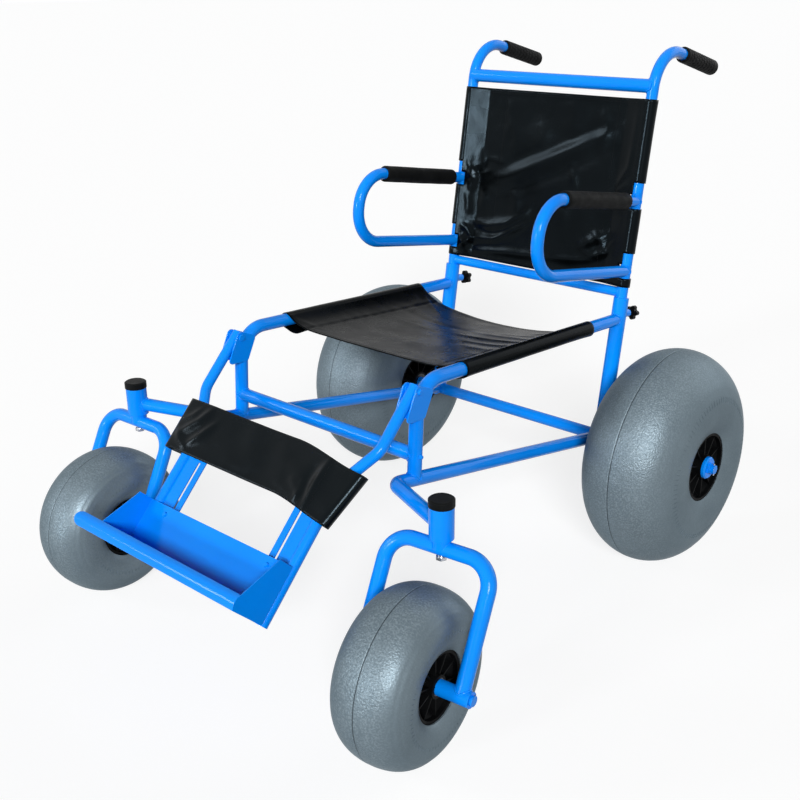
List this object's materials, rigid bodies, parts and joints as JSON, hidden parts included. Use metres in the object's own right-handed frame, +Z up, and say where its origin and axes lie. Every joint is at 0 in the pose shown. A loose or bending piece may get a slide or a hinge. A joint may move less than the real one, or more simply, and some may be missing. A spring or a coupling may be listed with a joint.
{
  "type": "beach wheelchair",
  "caption": "Beach wheelchair with a bent-tube frame, balloon tyres, swivelling front casters, vinyl slings, loop armrests, a lift-out backrest and a hinged legrest with a sliding foot tray.",
  "frame": {"origin": "on the ground under the middle of the chair, halfway between the front of the foot tray and the ends of the push grips", "axes": "+Z up, the chair faces -Y, +X to the sitter's left"},
  "size_m": [1.1311, 1.4906, 1.1114],
  "materials": {
    "frame_paint": "gloss azure blue powder coat",
    "vinyl": "black vinyl-coated cloth with a soft gloss, stitched hems",
    "tyre": "grey, finely pebbled, with a satin sheen",
    "hub_plastic": "black moulded plastic",
    "foam": "black foam sleeve",
    "grip_rubber": "black ribbed rubber",
    "knob_plastic": "black plastic",
    "cap_plastic": "black plastic",
    "steel": "bright zinc and steel"
  },
  "bodies": {
    "frame": {"left_seat_rail": "frame_paint", "right_seat_rail": "frame_paint", "left_upright": "frame_paint", "right_upright": "frame_paint", "left_side_rail": "frame_paint", "right_side_rail": "frame_paint", "rear_axle_tube": "frame_paint", "front_cross_tube": "frame_paint", "left_hinge_bracket": "frame_paint", "right_hinge_bracket": "frame_paint", "hinge_bolts": "steel", "left_head_tube": "frame_paint", "right_head_tube": "frame_paint", "head_bearings": "steel", "head_caps": "cap_plastic", "left_stub_axle": "frame_paint", "right_stub_axle": "frame_paint", "axle_nuts": "frame_paint", "split_pins": "steel", "frame_bolts": "steel", "clamp_bosses": "frame_paint", "seat_sling": "vinyl"},
    "backrest": {"left_cane": "frame_paint", "right_cane": "frame_paint", "upper_crossbar": "frame_paint", "lower_crossbar": "frame_paint", "left_armrest": "frame_paint", "right_armrest": "frame_paint", "left_arm_pad": "foam", "right_arm_pad": "foam", "left_push_grip": "grip_rubber", "right_push_grip": "grip_rubber", "back_sling": "vinyl"},
    "left_knob": {"left_clamp_knob": "knob_plastic"},
    "right_knob": {"right_clamp_knob": "knob_plastic"},
    "left_caster": {"left_fork": "frame_paint", "left_king_pin": "steel", "left_caster_axle": "frame_paint"},
    "right_caster": {"right_fork": "frame_paint", "right_king_pin": "steel", "right_caster_axle": "frame_paint"},
    "left_caster_wheel": {"left_caster_tyre": "tyre", "left_caster_hub": "hub_plastic", "left_caster_bearings": "steel"},
    "right_caster_wheel": {"right_caster_tyre": "tyre", "right_caster_hub": "hub_plastic", "right_caster_bearings": "steel"},
    "left_rear_wheel": {"left_rear_tyre": "tyre", "left_rear_hub": "hub_plastic", "left_rear_bearings": "steel"},
    "right_rear_wheel": {"right_rear_tyre": "tyre", "right_rear_hub": "hub_plastic", "right_rear_bearings": "steel"},
    "legrest": {"left_legrest_tube": "frame_paint", "right_legrest_tube": "frame_paint", "slotted_plates": "frame_paint", "calf_strap": "vinyl"},
    "tray": {"foot_tray": "frame_paint", "tray_bolts": "steel"}
  },
  "joints": [
    {"name": "backrest_lift", "type": "slide", "parent": "frame", "child": "backrest", "axis": [0, 0.1633, 0.9866], "range_m": [0, 0.14]},
    {"name": "left_knob_turn", "type": "hinge", "parent": "frame", "child": "left_knob", "pos_m": [0.248, 0.44849, 0.52443], "axis": [0, 0.9866, -0.1633], "range_deg": [0, 720]},
    {"name": "right_knob_turn", "type": "hinge", "parent": "frame", "child": "right_knob", "pos_m": [-0.248, 0.44849, 0.52443], "axis": [0, 0.9866, -0.1633], "range_deg": [0, 720]},
    {"name": "left_caster_swivel", "type": "hinge", "parent": "frame", "child": "left_caster", "pos_m": [0.4315, -0.46812, 0.4], "axis": [0, 0, 1], "continuous": true},
    {"name": "right_caster_swivel", "type": "hinge", "parent": "frame", "child": "right_caster", "pos_m": [-0.4315, -0.46812, 0.4], "axis": [0, 0, 1], "continuous": true},
    {"name": "left_caster_roll", "type": "hinge", "parent": "left_caster", "child": "left_caster_wheel", "pos_m": [0.44346, -0.56841, 0.159], "axis": [0.993, 0.1184, 0], "continuous": true},
    {"name": "right_caster_roll", "type": "hinge", "parent": "right_caster", "child": "right_caster_wheel", "pos_m": [-0.42709, -0.56902, 0.159], "axis": [0.999, 0.0436, 0], "continuous": true},
    {"name": "left_rear_roll", "type": "hinge", "parent": "frame", "child": "left_rear_wheel", "pos_m": [0.4165, 0.34243, 0.245], "axis": [1, 0, 0], "continuous": true},
    {"name": "right_rear_roll", "type": "hinge", "parent": "frame", "child": "right_rear_wheel", "pos_m": [-0.4165, 0.34243, 0.245], "axis": [1, 0, 0], "continuous": true},
    {"name": "legrest_swing", "type": "hinge", "parent": "frame", "child": "legrest", "pos_m": [0, -0.33012, 0.55804], "axis": [-1, 0, 0], "range_deg": [0, 46]},
    {"name": "tray_slide", "type": "slide", "parent": "legrest", "child": "tray", "axis": [0, -0.6997, -0.7145], "range_m": [-0.07, 0.07]}
  ]
}
